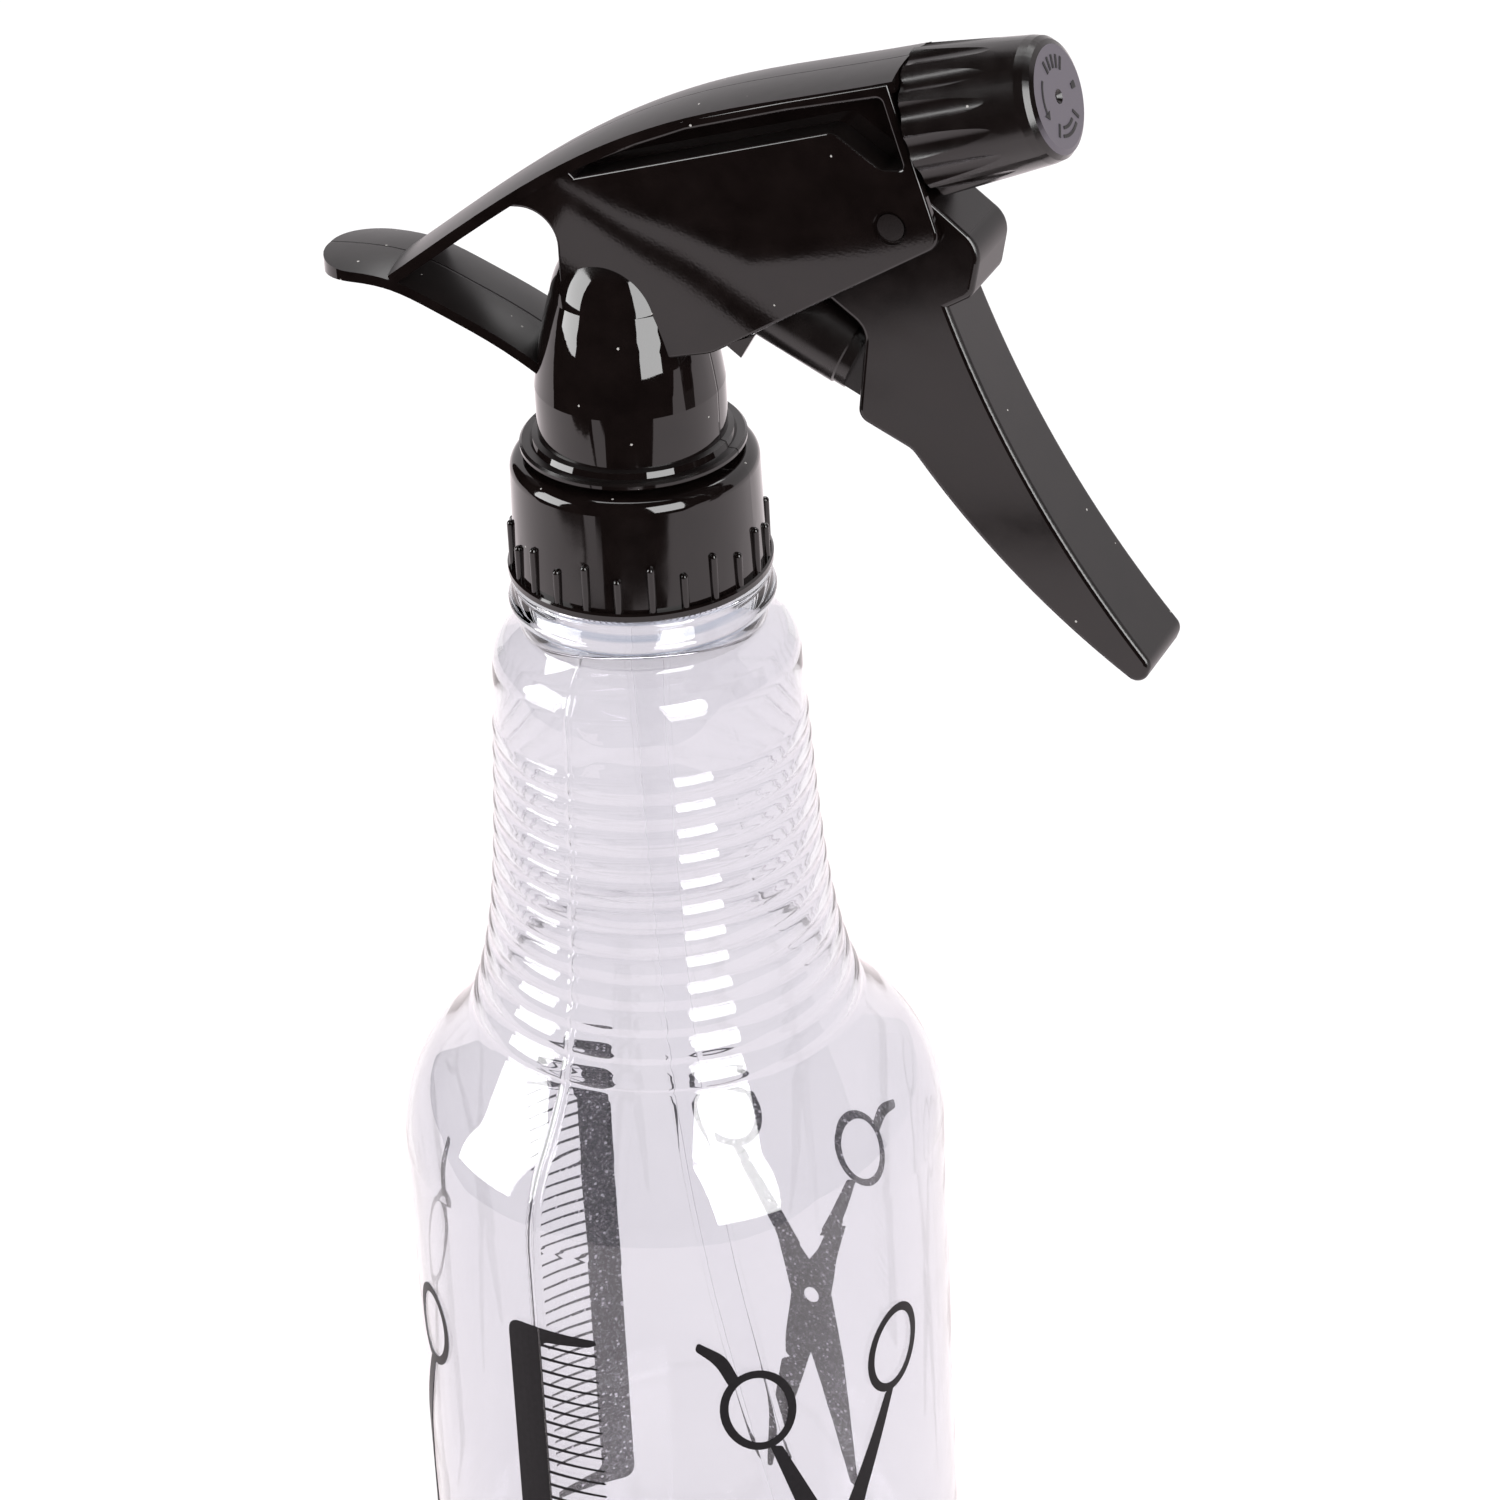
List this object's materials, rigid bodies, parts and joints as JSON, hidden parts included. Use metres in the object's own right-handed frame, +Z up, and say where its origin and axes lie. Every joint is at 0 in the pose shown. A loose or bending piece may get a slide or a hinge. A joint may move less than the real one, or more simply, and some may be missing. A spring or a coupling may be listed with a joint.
{
  "type": "trigger spray bottle",
  "caption": "Hand mister: clear bottle with a ringed neck, black screw closure and trigger head with a duck-tail rest and twist nozzle.",
  "frame": {"origin": "centre of the bottle's base, on the bottle's axis, on the surface it stands on", "axes": "+Z up along the bottle's axis, +X the way the nozzle sprays seen from above, +Y to the sprayer's left"},
  "size_m": [0.1088, 0.0702, 0.2665],
  "materials": {
    "clear_bottle": "clear glossy PET",
    "black_gloss": "glossy black polypropylene",
    "black_satin": "satin black polypropylene",
    "natural_plastic": "natural translucent polyethylene",
    "tube_plastic": "natural translucent polyethylene tube",
    "seal_foam": "white polyethylene foam",
    "seal_rubber": "black rubber",
    "spring_steel": "bright drawn stainless wire",
    "ball_steel": "polished stainless ball"
  },
  "bodies": {
    "bottle": {"bottle": "clear_bottle"},
    "sprayer": {"sprayer_body": "black_gloss", "tube_retainer": "natural_plastic", "dip_tube": "tube_plastic", "neck_gasket": "seal_foam", "return_spring": "spring_steel", "outlet_spring": "spring_steel", "spinner": "natural_plastic", "nozzle_seal": "seal_rubber"},
    "closure": {"closure": "black_gloss"},
    "inlet_valve": {"inlet_ball": "ball_steel"},
    "plunger": {"plunger": "black_gloss", "plunger_seal": "natural_plastic"},
    "trigger": {"trigger": "black_satin"},
    "outlet_valve": {"outlet_ball": "ball_steel"},
    "nozzle": {"nozzle_cap": "black_satin"}
  },
  "joints": [
    {"name": "head_lift", "type": "slide", "parent": "bottle", "child": "sprayer", "axis": [0, 0, 1], "range_m": [0, 0.00529]},
    {"name": "closure_turn", "type": "hinge", "parent": "sprayer", "child": "closure", "pos_m": [0, 0, 0.19], "axis": [0, 0, 1], "range_deg": [0, 450]},
    {"name": "trigger_pull", "type": "hinge", "parent": "sprayer", "child": "trigger", "pos_m": [0.0378, 0, 0.2433], "axis": [0, 1, 0], "range_deg": [0, 21.5], "stiffness_Nm_per_rad": 0.25, "springref_deg": -20.05},
    {"name": "plunger_slide", "type": "slide", "parent": "sprayer", "child": "plunger", "axis": [-0.8984, 0, 0.4392], "range_m": [0, 0.009], "deforming": ["return_spring"]},
    {"name": "inlet_lift", "type": "slide", "parent": "sprayer", "child": "inlet_valve", "axis": [0, 0, 1], "range_m": [0, 0.0015]},
    {"name": "outlet_lift", "type": "slide", "parent": "sprayer", "child": "outlet_valve", "axis": [0.9519, 0, 0.3064], "range_m": [0, 0.001], "stiffness_N_per_m": 60, "springref_m": -0.002, "deforming": ["outlet_spring"]},
    {"name": "nozzle_twist", "type": "hinge", "parent": "sprayer", "child": "nozzle", "pos_m": [0.05678, 0, 0.2599], "axis": [0.9519, 0, 0.3064], "range_deg": [0, 270]}
  ],
  "couplings": [
    {"joint": "plunger_slide", "follows": "trigger_pull", "m_per_rad": 0.023916},
    {"joint": "closure_turn", "follows": "head_lift", "rad_per_m": 1485.4}
  ]
}
